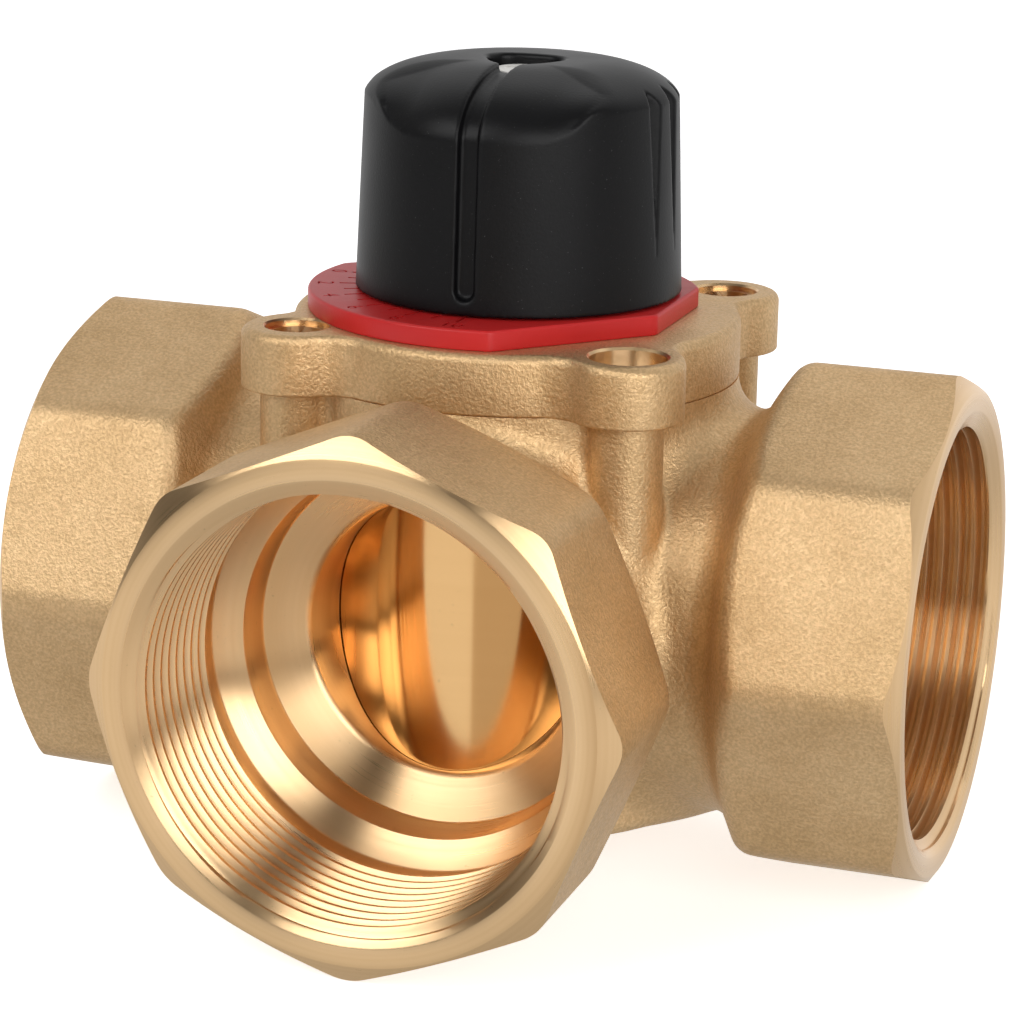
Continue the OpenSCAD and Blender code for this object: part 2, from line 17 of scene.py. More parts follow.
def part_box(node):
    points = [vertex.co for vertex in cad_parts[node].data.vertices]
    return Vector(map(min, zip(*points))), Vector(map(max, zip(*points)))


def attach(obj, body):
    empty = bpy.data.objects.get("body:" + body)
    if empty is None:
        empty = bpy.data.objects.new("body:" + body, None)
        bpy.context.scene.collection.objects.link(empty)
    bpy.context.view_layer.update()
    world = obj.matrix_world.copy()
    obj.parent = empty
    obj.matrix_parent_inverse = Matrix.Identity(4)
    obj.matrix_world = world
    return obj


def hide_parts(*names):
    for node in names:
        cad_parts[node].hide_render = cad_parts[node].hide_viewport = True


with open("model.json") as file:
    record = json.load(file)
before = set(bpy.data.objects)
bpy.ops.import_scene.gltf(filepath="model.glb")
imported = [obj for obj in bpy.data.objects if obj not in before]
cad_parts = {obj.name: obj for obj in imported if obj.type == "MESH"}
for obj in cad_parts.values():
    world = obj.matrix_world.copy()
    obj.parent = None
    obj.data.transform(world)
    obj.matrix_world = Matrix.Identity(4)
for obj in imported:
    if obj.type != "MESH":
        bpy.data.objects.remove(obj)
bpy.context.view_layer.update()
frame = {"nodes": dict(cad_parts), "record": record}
MOUNTS = {mount["name"]: mount for mount in frame["record"]["mounts"]}
MM = 0.001


def box_mm(node):
    """Low and high corner of a CAD node's box."""
    low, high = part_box(node)
    return np.array(low) / MM, np.array(high) / MM


BODY_LOW, BODY_HIGH = box_mm("body")
COVER_LOW, COVER_HIGH = box_mm("cover")
KNOB_LOW, KNOB_HIGH = box_mm("knob")
ROTOR_LOW, ROTOR_HIGH = box_mm("rotor")
DIAL_TOP = box_mm("dial_plate")[1][2]
PORT_Z = MOUNTS["port_right"]["pos_m"][2] / MM
REACH = BODY_HIGH[0]
THREAD_R = MOUNTS["port_right"]["dims"]["r_mm"]
LOBE = MOUNTS["actuator_holes"]["dims"]["pcd_mm"] / 2 / math.sqrt(2)
COVER_T, CHAMBER_DROP, BARREL_R, STOP_PIN_Y = 8.3, 23.5, 31.0, 15.0
PART_Z = COVER_HIGH[2] - COVER_T
CHAMBER_Z = PORT_Z - CHAMBER_DROP

# Diagonals of the cover: two carry its screws, two are open for an actuator
SCREWED = ((1, -1), (-1, 1))
OPEN = ((-1, -1), (1, 1))

# Segments round a revolved solid
SMALL_SEGS, HOLE_SEGS, ROUND_SEGS, FINE_SEGS, OUTLINE_SEGS = 48, 96, 192, 256, 720

# ---------------------------------------------------------------- meshes


def place(name, verts, faces, looks, index=0, move=None):
    """Makes an object from millimetre points, with every face on one of its materials."""
    mesh = bpy.data.meshes.new(name)
    mesh.from_pydata(np.asarray(verts, float).tolist(), [], [list(map(int, f)) for f in faces])
    for look in looks:
        mesh.materials.append(look)
    mesh.polygons.foreach_set("material_index", [index] * len(mesh.polygons))
    obj = bpy.data.objects.new(name, mesh)
    bpy.context.scene.collection.objects.link(obj)
    if move is not None:
        mesh.transform(move)
    return obj


def finish_piece(obj, body, node, sharp=30.0):
    """Scales a finished millimetre mesh to metres, shades it, ties it to its body and hides the CAD
    node it replaces.
    """
    mesh = obj.data
    mesh.transform(Matrix.Scale(MM, 4))
    mesh.shade_smooth()
    mesh.set_sharp_from_angle(angle=math.radians(sharp))
    mesh.update()
    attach(obj, body)
    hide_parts(node)
    return obj


def wind(verts, low, high, profile, pitch, limit):
    """Faces of a true helical thread between two rings of vertices.

    The profile is one pitch of (height, radius), and limit(z) is the least radius at a height.
    """
    first_turn, merge = 0.26, 0.02
    segs, n = len(low), len(profile)
    z_low, z_high = verts[low[0]][2], verts[high[0]][2]
    turns = math.ceil((z_high - z_low) / pitch) + 1
    rows = [(z_low + pitch * (k + first_turn) + at, r)
            for k in range(-2, turns) for at, r in profile]
    ids = np.empty((len(rows) + n, segs + 1), int)
    ids[:, :segs] = high
    for i, (start, r) in enumerate(rows):
        for j in range(segs):
            z = start + pitch * j / segs
            if z < z_low + merge:
                ids[i, j] = low[j]
            elif z < z_high - merge:
                turn, radius = j * 2 * math.pi / segs, max(r, limit(z))
                ids[i, j] = len(verts)
                verts.append((radius * math.cos(turn), radius * math.sin(turn), z))
    ids[:-n, segs] = ids[n:, 0]
    faces = []
    for i in range(len(rows) - 1):
        for j in range(segs):
            corners = (ids[i, j], ids[i, j + 1], ids[i + 1, j + 1], ids[i + 1, j])
            corners = list(dict.fromkeys(corners))
            if len(corners) > 2:
                faces.append(corners)
    return faces


def revolve(name, rows, looks, index=0, segs=ROUND_SEGS, move=None, thread=None):
    """A closed solid of revolution about Z.

    Each row is (z, r), where r is 0, a number or one radius per segment. thread is
    (row, profile, pitch, limit): wind() joins that row to the next one.
    """
    turn = np.arange(segs) * 2 * np.pi / segs
    cos, sin = np.cos(turn), np.sin(turn)
    verts, faces, rings = [], [], []
    for z, r in rows:
        if np.isscalar(r) and r == 0:
            rings.append([len(verts)])
            verts.append((0.0, 0.0, z))
            continue
        radius = np.broadcast_to(np.asarray(r, float), segs)
        rings.append(list(range(len(verts), len(verts) + segs)))
        verts.extend(zip(radius * cos, radius * sin, np.broadcast_to(z, segs)))
    for row, (low, high) in enumerate(zip(rings, rings[1:])):
        if thread and row == thread[0]:
            faces += wind(verts, low, high, *thread[1:])
            continue
        for j in range(segs):
            k = (j + 1) % segs
            if len(low) == 1:
                faces.append((low[0], high[k], high[j]))
            elif len(high) == 1:
                faces.append((low[j], low[k], high[0]))
            else:
                faces.append((low[j], low[k], high[k], high[j]))
    return place(name, verts, faces, looks, index, move)


def hole(rows, looks, index=0, segs=ROUND_SEGS, move=None):
    """A turned cutter whose ends are closed on its axis."""
    closed = [(rows[0][0], 0), *rows, (rows[-1][0], 0)]
    return revolve("cutter", closed, looks, index, segs, move)


def slot_cutter(low, high, looks, move):
    """A plain box, used only as a cutter."""
    (x0, y0, z0), (x1, y1, z1) = low, high
    verts = [(x, y, z) for z in (z0, z1) for x, y in ((x0, y0), (x1, y0), (x1, y1), (x0, y1))]
    faces = [(0, 3, 2, 1), (4, 5, 6, 7), (0, 1, 5, 4), (1, 2, 6, 5), (2, 3, 7, 6), (3, 0, 4, 7)]
    return place("cutter", verts, faces, looks, move=move)


def combine(obj, others, operation="DIFFERENCE"):
    """Cuts or joins other closed solids into obj and removes them."""
    for other in others:
        step = obj.modifiers.new("step", "BOOLEAN")
        step.solver, step.operation, step.object = "MANIFOLD", operation, other
        graph = bpy.context.evaluated_depsgraph_get()
        mesh = bpy.data.meshes.new_from_object(obj.evaluated_get(graph))
        obj.modifiers.remove(step)
        old, obj.data = obj.data, mesh
        bpy.data.meshes.remove(old)
        bpy.data.objects.remove(other)
    return obj


def at_lobe(sx, sy):
    return Matrix.Translation((sx * LOBE, sy * LOBE, 0))


def about_z(degrees):
    return Matrix.Rotation(math.radians(degrees), 4, "Z")


def on_port(direction):
    """Matrix that stands a shape drawn along +Z on a port: direction is degrees from +X."""
    return (Matrix.Translation((0, 0, PORT_Z)) @ about_z(direction)
            @ Matrix.Rotation(math.radians(90), 4, "Y"))


# ---------------------------------------------------------------- distance fields


def solid_from_field(name, field, low, step, looks):
    """A closed quad mesh of the surface where a distance field is zero."""
    reach = 3 * step
    grid = openvdb.FloatGrid(reach)
    grid.copyFromArray(np.clip(field, -reach, reach).astype(np.float32))
    grid.transform = openvdb.createLinearTransform(voxelSize=step)
    points, quads = grid.convertToQuads(0.0)
    return place(name, points + np.array(low), quads, looks)


def lattice(low, high, step):
    """Coordinates of every grid point in a box."""
    axes = [np.arange(a, b + step, step, dtype=np.float32) for a, b in zip(low, high)]
    return np.meshgrid(*axes, indexing="ij")


def blend(a, b, r):
    """Union of two distance fields with a round fillet of radius r."""
    u, v = np.maximum(r - a, 0), np.maximum(r - b, 0)
    return np.maximum(r, np.minimum(a, b)) - np.sqrt(u * u + v * v)


def common(a, b, r):
    """Intersection of two distance fields with the edge rounded to radius r."""
    u, v = np.maximum(r + a, 0), np.maximum(r + b, 0)
    return np.minimum(-r, np.maximum(a, b)) + np.sqrt(u * u + v * v)


def crown(rho, z, reach, flat, low, high):
    """A low dome: flat inside one radius, then an ellipse down to its widest point."""
    a, b = reach - flat, high - low
    dx, dz = np.maximum(rho - flat, 0), np.maximum(z - low, 0)
    q = np.sqrt((dx / a) ** 2 + (dz / b) ** 2)
    slope = np.sqrt((dx / a ** 2) ** 2 + (dz / b ** 2) ** 2)
    below = rho - reach - (low - z) * 0.2
    dome = np.where(z < low, below, q * (q - 1) / np.maximum(slope, 1e-3))
    return np.where(rho < flat, z - high, dome)


# ---------------------------------------------------------------- materials

# Socket numbers of a Mix node that mixes colours
MIX_FACTOR, MIX_A, MIX_B = 0, 6, 7


def fill_ramp(ramp, stops):
    """Gives a colour ramp its (position, colour) stops."""
    items = ramp.elements
    while len(items) < len(stops):
        items.new(0.5)
    for item, (at, colour) in zip(items, stops):
        item.position = at
        item.color = (*colour, 1)


def scaled(colour, factor):
    return tuple(c * factor for c in colour)


class Look:
    """A procedural material, built one node at a time in object space."""

    def __init__(self, name, **sockets):
        self.material = bpy.data.materials.new(name)
        self.material.use_nodes = True
        self.tree = self.material.node_tree
        self.shader = self.tree.nodes["Principled BSDF"]
        for key, value in sockets.items():
            self.shader.inputs[key.replace("_", " ")].default_value = value
        self.space = self.tree.nodes.new("ShaderNodeTexCoord").outputs["Object"]

    def node(self, kind, links, values=None, **props):
        made = self.tree.nodes.new("ShaderNode" + kind)
        for key, value in props.items():
            setattr(made, key, value)
        for key, value in (values or {}).items():
            made.inputs[key].default_value = value
        for key, source in links.items():
            self.tree.links.new(source, made.inputs[key])
        return made

    def noise(self, scale, detail, rough, w=None):
        """Noise in space, or along one line when w is given."""
        values = {"Scale": scale, "Detail": detail, "Roughness": rough}
        if w is None:
            return self.node("TexNoise", {"Vector": self.space}, values).outputs["Fac"]
        return self.node("TexNoise", {"W": w}, values, noise_dimensions="1D").outputs["Fac"]

    def ramp(self, fac, stops):
        made = self.node("ValToRGB", {"Fac": fac})
        fill_ramp(made.color_ramp, stops)
        return made.outputs["Color"]

    def grey(self, fac, low, high, start=0.3, end=0.7):
        """Maps a factor from start..end to low..high."""
        values = {"From Min": start, "From Max": end, "To Min": low, "To Max": high}
        return self.node("MapRange", {"Value": fac}, values).outputs["Result"]

    def math(self, operation, a, b):
        links, values = {}, {}
        for i, item in enumerate((a, b)):
            (values if isinstance(item, (int, float)) else links)[i] = item
        return self.node("Math", links, values, operation=operation).outputs[0]

    def mix(self, fac, a, b, blend_type="MIX"):
        """Mixes two colours; each input is a number, a colour or another node's output."""
        links, values = {}, {}
        for at, item in ((MIX_FACTOR, fac), (MIX_A, a), (MIX_B, b)):
            if isinstance(item, (int, float)):
                values[at] = item
            elif isinstance(item, tuple):
                values[at] = (*item, 1)
            else:
                links[at] = item
        made = self.node("Mix", links, values, data_type="RGBA", blend_type=blend_type)
        return made.outputs[2]

    def bump(self, height, distance, strength, normal=None):
        links = {"Height": height}
        if normal:
            links["Normal"] = normal
        values = {"Distance": distance, "Strength": strength}
        return self.node("Bump", links, values).outputs["Normal"]

    def use(self, **links):
        for key, source in links.items():
            self.tree.links.new(source, self.shader.inputs[key.replace("_", " ")])
        return self.material

    def from_centre(self, centre):
        minus = tuple(-c for c in centre)
        return self.node("VectorMath", {0: self.space}, {1: minus}, operation="ADD").outputs[0]

    def round_axis(self, axis, centre):
        """Direction of the turning marks at each point: round an axis of the object."""
        moved = self.from_centre(centre)
        line = tuple(float(i == axis) for i in range(3))
        cross = self.node("VectorMath", {0: moved}, {1: line}, operation="CROSS_PRODUCT")
        turned = self.node("VectorTransform", {"Vector": cross.outputs[0]}, vector_type="VECTOR",
                           convert_from="OBJECT", convert_to="WORLD")
        return turned.outputs[0]

    def radius_from(self, axis, centre=(0, 0, 0)):
        """Distance from an axis line, and the place along it."""
        split = self.node("SeparateXYZ", {0: self.from_centre(centre)})
        flat = self.node("CombineXYZ", {i: split.outputs[i] for i in range(3) if i != axis})
        length = self.node("VectorMath", {0: flat.outputs[0]}, operation="LENGTH").outputs["Value"]
        return length, split.outputs[axis]


def cast_brass():
    """Sandblasted casting: matt brass with a fine grain and a slow change of tone."""
    tones = ((0.32, (0.67, 0.455, 0.235)), (0.52, (0.74, 0.51, 0.275)), (0.7, (0.78, 0.55, 0.305)))
    pits = (0.80, 0.78, 0.74)
    grain_depth, wave_depth = 0.00016, 0.00022
    look = Look("cast_brass", Metallic=0.92, Roughness=0.5)
    tone = look.noise(70, 4, 0.6)
    grain = look.noise(2300, 2, 0.6)
    speck = look.noise(1300, 3, 0.65)
    base = look.ramp(tone, tones)
    shade = look.grey(grain, 0.0, 1.0, 0.38, 0.66)
    base = look.mix(shade, look.mix(1.0, base, pits, "MULTIPLY"), base)
    rough = look.grey(speck, 0.42, 0.58)
    waves = look.bump(look.noise(330, 3, 0.5), wave_depth, 0.35)
    normal = look.bump(grain, grain_depth, 0.75, waves)
    return look.use(Base_Color=base, Roughness=rough, Normal=normal)


def turned_brass(name, axis, centre, tint=(0.86, 0.59, 0.325), rough=(0.26, 0.32),
                 marks=0.000012, spread=0.85, shade=(0.93, 0.91, 0.87)):
    """Machined brass: fine turning marks round an axis spread the reflections across the marks."""
    lead = 0.83
    look = Look(name, Metallic=1.0, Roughness=0.33, Anisotropic=spread, Anisotropic_Rotation=0.25)
    radius, along = look.radius_from(axis, centre)
    w = look.math("ADD", radius, look.math("MULTIPLY", along, lead))
    rings = look.noise(3000, 4, 0.7, w=w)
    broad = look.noise(420, 3, 0.6, w=w)
    spots = look.noise(60, 3, 0.5)
    fleck = look.noise(1500, 2, 0.6)
    dark = tuple(c * k for c, k in zip(tint, shade))
    base = look.mix(look.grey(broad, 0, 1, 0.35, 0.65), dark, tint)
    base = look.mix(look.grey(fleck, 0, 0.5, 0.70, 0.78), base, scaled(tint, 0.6))
    roughness = look.math("ADD", look.grey(rings, *rough), look.grey(spots, -0.02, 0.04))
    return look.use(Base_Color=base, Roughness=roughness, Normal=look.bump(rings, marks, 0.5),
                    Tangent=look.round_axis(axis, centre))


def moulded(name, colour, rough, speck=None, index=1.36):
    """Satin moulded plastic with a fine spark-eroded grain."""
    grain_depth = 0.00004
    look = Look(name, Roughness=rough, IOR=index)
    slow = look.noise(45, 3, 0.5)
    base = look.mix(look.grey(slow, 0, 1), scaled(colour, 0.86), colour)
    if speck:
        dots = look.noise(3400, 2, 0.7)
        base = look.mix(look.grey(dots, 0, 1, 0.70, 0.76), base, speck)
    grain = look.noise(2600, 3, 0.6)
    return look.use(Base_Color=base, Roughness=look.grey(slow, rough - 0.04, rough + 0.05),
                    Normal=look.bump(grain, grain_depth, 0.5))


def plated(name, colour, rough):
    """Plated or drawn steel with faint turning marks round Z."""
    mark_depth = 0.00002
    look = Look(name, Metallic=1.0, Roughness=rough)
    radius, along = look.radius_from(2)
    rings = look.noise(3500, 3, 0.6, w=look.math("ADD", radius, along))
    slow = look.noise(300, 3, 0.6)
    base = look.mix(look.grey(slow, 0, 1), scaled(colour, 0.85), colour)
    return look.use(Base_Color=base, Roughness=look.grey(slow, rough - 0.06, rough + 0.1),
                    Normal=look.bump(rings, mark_depth, 0.4))


PORT_CENTRE = (0, 0, PORT_Z * MM)
ORIGIN = (0, 0, 0)
CAST = cast_brass()
TURNED_X = turned_brass("turned_brass_run", 0, PORT_CENTRE)
TURNED_Y = turned_brass("turned_brass_front", 1, PORT_CENTRE)
TURNED_Z = turned_brass("turned_brass_upright", 2, ORIGIN)
POLISHED = turned_brass("polished_brass", 2, ORIGIN, tint=(0.85, 0.525, 0.235),
                        rough=(0.115, 0.125), marks=0.0000002, spread=0.3,
                        shade=(0.985, 0.98, 0.97))
BLACK = moulded("black_plastic", (0.003, 0.003, 0.0035), 0.4, speck=(0.045, 0.045, 0.045),
                index=1.29)
RED = moulded("red_plastic", (0.5, 0.016, 0.016), 0.38)
WHITE = moulded("bush_plastic", (0.80, 0.79, 0.74), 0.4)
RUBBER = moulded("seal_rubber", (0.02, 0.02, 0.02), 0.6)
ZINC = plated("zinc_steel", (0.72, 0.70, 0.66), 0.28)
NICKEL = plated("nickel_steel", (0.92, 0.90, 0.86), 0.45)
STEEL = plated("bright_steel", (0.62, 0.62, 0.62), 0.25)

# Materials of every brass casting, and their places in the list
BRASSES = [CAST, TURNED_X, TURNED_Y, TURNED_Z]
AS_CAST, CUT_X, CUT_Y, CUT_Z = range(4)

# ---------------------------------------------------------------- ports and body


def small_thread(z, start, end, minor, depth, pitch, segs):
    """Radius of a small thread at height z for every segment; it fades in and out at its ends."""
    fade = 0.5 * pitch
    turn = np.arange(segs) / segs
    phase = np.abs(np.mod(z / pitch - turn, 1.0) - 0.5) * 2
    shape = np.clip((0.62 - phase) / 0.5, 0, 1)
    shape = shape * (1.15 - 0.15 * shape)
    gain = np.clip((z - start) / fade, 0, 1) * np.clip((end - z) / fade, 0, 1)
    return minor + depth * shape * gain


def pipe_thread_profile(pitch, root):
    """One pitch of the G 2 thread from crest to crest, with slightly bevelled edges."""
    flank_angle, bevel, edge, widen = 27.5, 0.06, 0.05, 0.04
    mid = (THREAD_R + root) / 2
    flank = (root - THREAD_R) * math.tan(math.radians(flank_angle))
    crest = (pitch - 2 * flank) / 2 + widen
    start = crest + flank
    return [(0, THREAD_R), (crest / 2, THREAD_R), (crest, THREAD_R),
            (crest + edge, THREAD_R + bevel), (crest + flank / 2, mid),
            (start - edge, root - bevel), (start, root), ((start + pitch - flank) / 2, root),
            (pitch - flank, root), (pitch - flank + edge, root - bevel),
            (pitch - flank / 2, mid), (pitch - edge, THREAD_R + bevel)]


def port_cutter(direction, index):
    """Everything turned in one port: face, corner chamfer, lead-in, G 2 thread, relief and seat."""
    pitch, root, mouth, mouth_deep, way_r, outside = 2.309, 29.6, 30.6, 1.3, 18.4, 46.0
    slope = (mouth - THREAD_R) / mouth_deep
    face = REACH
    # (depth below the face, radius) of the way in, the step, the cone and the run-out groove
    seat = [(44.1, way_r), (36.2, 19.28), (35.95, 19.45), (35.65, 19.75), (35.45, 20.15),
            (33.4, 25.3), (33.2, 25.45), (32.8, 25.5), (28.5, 25.85), (28.2, 26.0), (26.0, 29.5),
            (25.8, 29.65), (25.6, 29.7), (21.4, 29.7)]
    rows = [(12.0, 0), (12.0, way_r)] + [(face - deep, r) for deep, r in seat]
    thread = (len(rows) - 1, pipe_thread_profile(pitch, root), pitch,
              lambda z: mouth - (face - z) * slope)
    rows += [(face - 0.5, mouth - 0.5 * slope), (face - 0.06, mouth - 0.06 * slope + 0.02),
             (face, mouth + 0.06), (face, 33.2), (face - 0.06, 33.35), (face - 2.06, 36.4),
             (face - 3.6, 38.75), (face - 3.6, outside), (face + 8, outside), (face + 8, 0)]
    segs = FINE_SEGS
    return revolve("cutter", rows, BRASSES, index, segs, on_port(direction), thread)


def hub_field(along, side, up):
    """One octagonal hub, its shoulder and its neck, in port coordinates."""
    across, corner, neck_r, hub_h, neck_h = 33.65, 5.6, 28.0, 27.7, 20
    edge, neck_fillet, crisp, beyond_face = 1.6, 2.2, 0.1, 2
    rho = np.sqrt(side * side + up * up)
    eighth = np.float32(math.pi / 4)
    turn = np.mod(np.arctan2(up, side), eighth) - eighth / 2
    flat = across - corner
    dx = rho * np.cos(turn) - flat
    dy = np.abs(rho * np.sin(turn)) - flat * math.tan(math.pi / 8)
    round_corner = np.sqrt(np.maximum(dx, 0) ** 2 + np.maximum(dy, 0) ** 2)
    octagon = np.where(dy > 0, round_corner, dx) - corner
    slope = math.atan2(8.4, 4.9)
    shoulder = (rho - neck_r) * math.cos(slope) - (along - (REACH - hub_h)) * math.sin(slope)
    hub = common(common(octagon, shoulder, edge), along - (REACH + beyond_face), crisp)
    neck = common(rho - neck_r, along - (REACH - neck_h), crisp)
    return blend(common(neck, -along, crisp), hub, neck_fillet)


def body_field(x, y, z):
    """Barrel, three necks and hubs, and the columns under the cover's corners."""
    bottom, top, bottom_edge, crisp = 28.0, 33.5, 1.8, 0.1
    hub_fillet, column_fillet, column_low, column_max_r = 4.5, 1.6, 7, 5.0
    up = z - PORT_Z
    rho = np.sqrt(x * x + y * y)
    barrel = common(common(rho - BARREL_R, -(up + bottom), bottom_edge), up - top, crisp)
    solid = blend(barrel, hub_field(np.abs(x), y, up), hub_fillet)
    solid = blend(solid, hub_field(-y, x, up), hub_fillet)
    column_r = np.clip((up + 6) * 0.4 + 1, 0.5, column_max_r)
    column = np.sqrt((np.abs(x) - LOBE) ** 2 + (np.abs(y) - LOBE) ** 2) - column_r
    column = np.maximum(np.maximum(column, -(up + column_low)), up - top)
    return blend(solid, column, column_fillet)


def make_body():
    """Casting with its three ports, the chamber, the cover's seat and four tapped holes."""
    step, margin, back, below, above = 0.5, 3, 39.5, 38.5, 36
    low = np.array([-REACH - margin, -REACH - margin, PORT_Z - below])
    high = np.array([REACH + margin, back, PORT_Z + above])
    body = solid_from_field("valve_body", body_field(*lattice(low, high, step)), low, step, BRASSES)
    cutters = [port_cutter(*port) for port in ((0, CUT_X), (180, CUT_X), (-90, CUT_Y))]
    top, chamber_r, pivot_r, clear_r, lobe_r = PART_Z, 27.25, 6.5, 33, 6.5
    cutters.append(hole([
        (CHAMBER_Z - 2.5, pivot_r), (CHAMBER_Z, pivot_r), (CHAMBER_Z, 27.0),
        (CHAMBER_Z + 0.3, chamber_r), (top - 0.4, chamber_r), (top, 27.7), (top, clear_r),
        (top + 12, clear_r)], BRASSES, CUT_Z))
    taps = [(lobe, 2.1, 0.8) for lobe in SCREWED] + [(lobe, 2.5, 1.0) for lobe in OPEN]
    deep, row_gap, thread_share = top - 13, 0.12, 0.6
    for lobe, minor, pitch in taps:
        rows = [(deep - 1.2, 0), (deep, minor)]
        rows += [(z, small_thread(z, deep, top + 1, minor, thread_share * pitch, pitch, SMALL_SEGS))
                 for z in np.arange(deep + 0.1, top - 0.3, row_gap)]
        rows += [(top - 0.3, minor + 0.3), (top, minor + 0.6), (top, lobe_r), (top + 3, lobe_r),
                 (top + 3, 0)]
        cutters.append(revolve("cutter", rows, BRASSES, CUT_Z, SMALL_SEGS, at_lobe(*lobe)))
    combine(body, cutters)
    return finish_piece(body, "housing", "body")


# ---------------------------------------------------------------- cover


def cover_outline(segs, lobe_r, disc_r, fillet):
    """Radius of the cover's outline per segment: disc, four lobes, and the fillets between."""
    turn = np.arange(segs) * 2 * np.pi / segs
    lobe_at, fillet_at = LOBE * math.sqrt(2), disc_r + fillet
    reach = lobe_r + fillet
    offset = math.acos((fillet_at ** 2 + lobe_at ** 2 - reach ** 2) / (2 * fillet_at * lobe_at))
    touch = (np.array([math.sin(offset), math.cos(offset)]) * fillet_at * lobe_r / reach
             + np.array([0, 1]) * lobe_at * fillet / reach)
    contact = math.atan2(*touch)
    off = np.abs(np.mod(turn, np.pi / 2) - np.pi / 4)
    across = np.sqrt(np.maximum(lobe_r ** 2 - (lobe_at * np.sin(off)) ** 2, 0))
    lobe = lobe_at * np.cos(off) + across
    away = off - offset
    across = np.sqrt(np.maximum(fillet ** 2 - (fillet_at * np.sin(away)) ** 2, 0))
    web = fillet_at * np.cos(away) - across
    return np.where(off < contact, lobe, np.where(off < offset, web, disc_r))


def edge_rows(low, high, outline, bottom, top, steps):
    """Rows of a plate with rounded edges of two radii, from its underside to its top."""
    rows = [(low, 0)]
    arc = [math.pi / 2 * i / steps for i in range(steps + 1)]
    rows += [(low + bottom * (1 - math.cos(a)), outline - bottom * (1 - math.sin(a))) for a in arc]
    rows += [(high - top * (1 - math.sin(a)), outline - top * (1 - math.cos(a))) for a in arc]
    return rows + [(high, 0)]


def stop_pin_hole(bottom, top, r, looks, index):
    """Cutter for the pin that stands in the cover and passes through the dial."""
    move = Matrix.Translation((0, STOP_PIN_Y, 0))
    return hole([(bottom, r), (top, r)], looks, index, SMALL_SEGS, move)


def make_cover():
    """Square cover with its spigot, seal groove, stem hole, counterbores and stepped holes."""
    lobe_r, fillet, bottom_edge, top_edge = 7.6, 6.0, 0.35, 1.3
    outline = cover_outline(OUTLINE_SEGS, lobe_r, BARREL_R, fillet)
    rows = edge_rows(PART_Z, 0.0, outline, bottom_edge, top_edge, 6)
    cover = revolve("valve_cover", rows, BRASSES, AS_CAST, OUTLINE_SEGS)
    bottom, spigot_r, groove_r, groove_low, groove_high = COVER_LOW[2], 27.15, 24.95, -13.3, -10.7
    spigot = [(bottom, 0), (bottom, 26.8), (bottom + 0.35, spigot_r), (groove_low, spigot_r),
              (groove_low, groove_r), (groove_high, groove_r), (groove_high, spigot_r),
              (PART_Z + 0.5, spigot_r), (PART_Z + 0.5, 0)]
    combine(cover, [revolve("spigot", spigot, BRASSES, CUT_Z)], "UNION")
    stem_r, bush_r, bush_z, pin_r, pin_z = 6.05, 8.0, -7.0, 1.5, -4
    cutters = [hole([(bottom - 1, stem_r), (bush_z, stem_r), (bush_z, bush_r), (1, bush_r)],
                    BRASSES, CUT_Z)]
    screw_r, head_r, step_r, open_r = 2.75, 5.2, 4.4, 3.3
    counterbore = [(PART_Z - 1, screw_r), (-6.3, screw_r), (-6.3, 5.0), (-6.1, head_r),
                   (-0.35, head_r), (0.0, 5.5), (1, 5.9)]
    stepped = [(PART_Z - 1, open_r), (-0.9, open_r), (-0.9, step_r), (-0.3, step_r), (0.0, 4.65),
               (1, 5.1)]
    for lobes, rows in ((SCREWED, counterbore), (OPEN, stepped)):
        for lobe in lobes:
            cutters.append(hole(rows, BRASSES, CUT_Z, HOLE_SEGS, at_lobe(*lobe)))
    cutters.append(stop_pin_hole(pin_z, 1, pin_r, BRASSES, CUT_Z))
    combine(cover, cutters)
    return finish_piece(cover, "housing", "cover")


def make_cover_screw(name, lobe, node):
    """Low socket-head screw in a plain counterbore."""
    low, high = box_mm(node)[0][2], box_mm(node)[1][2]
    shank_r, head_r, socket_r = 2.05, 4.25, 1.73
    minor, depth, pitch, row_gap, head_h = 1.65, 0.4, 0.8, 0.1, 3.3
    head = high - head_h
    rows = [(low, 0), (low, 1.5), (low + 0.6, shank_r)]
    rows += [(z, small_thread(z, low, head, minor, depth, pitch, HOLE_SEGS))
             for z in np.arange(low + 0.7, head - 1, row_gap)]
    rows += [(head - 0.9, shank_r), (head, shank_r), (head, 4.0), (head + 0.25, head_r),
             (high - 0.6, head_r), (high - 0.25, 4.13), (high - 0.05, 3.85), (high, 3.5), (high, 0)]
    screw = revolve(name, rows, [ZINC], 0, HOLE_SEGS)
    socket = [(high - 2.2, 0), (high - 1.8, socket_r), (high - 0.1, socket_r), (high + 1, 2.6),
              (high + 1, 0)]
    combine(screw, [revolve("cutter", socket, [ZINC], 0, 6)])
    screw.data.transform(at_lobe(*lobe))
    return finish_piece(screw, "housing", node)


# ---------------------------------------------------------------- dial


def dial_outline(segs):
    """Radius of the dial's outline per segment: an arc on the graduated side, straight cuts and a
    smaller arc opposite, with slightly rounded corners."""
    scale_r, back_r, wide_cut, side_cut, rounding = 29.2, 25.3, 23.7, 23.1, 3.2
    turn = np.arange(segs) * 360.0 / segs

    def cut(direction, distance):
        off = np.radians(np.mod(turn - direction + 180, 360) - 180)
        return np.where(np.abs(off) < 1.2, distance / np.maximum(np.cos(off), 0.2), 99.0)

    arc = np.where((turn > 5) & (turn < 85), back_r, scale_r)
    cuts = [cut(-42.5, wide_cut), cut(132.5, wide_cut), cut(0, side_cut), cut(90, side_cut)]
    radius = np.min([arc, *cuts], axis=0)
    width = int(segs * rounding / 360)
    kernel = np.hanning(width + 2)
    kernel /= kernel.sum()
    wrapped = np.concatenate([radius[-width:], radius, radius[:width]])
    return np.convolve(wrapped, kernel, "same")[width:-width]


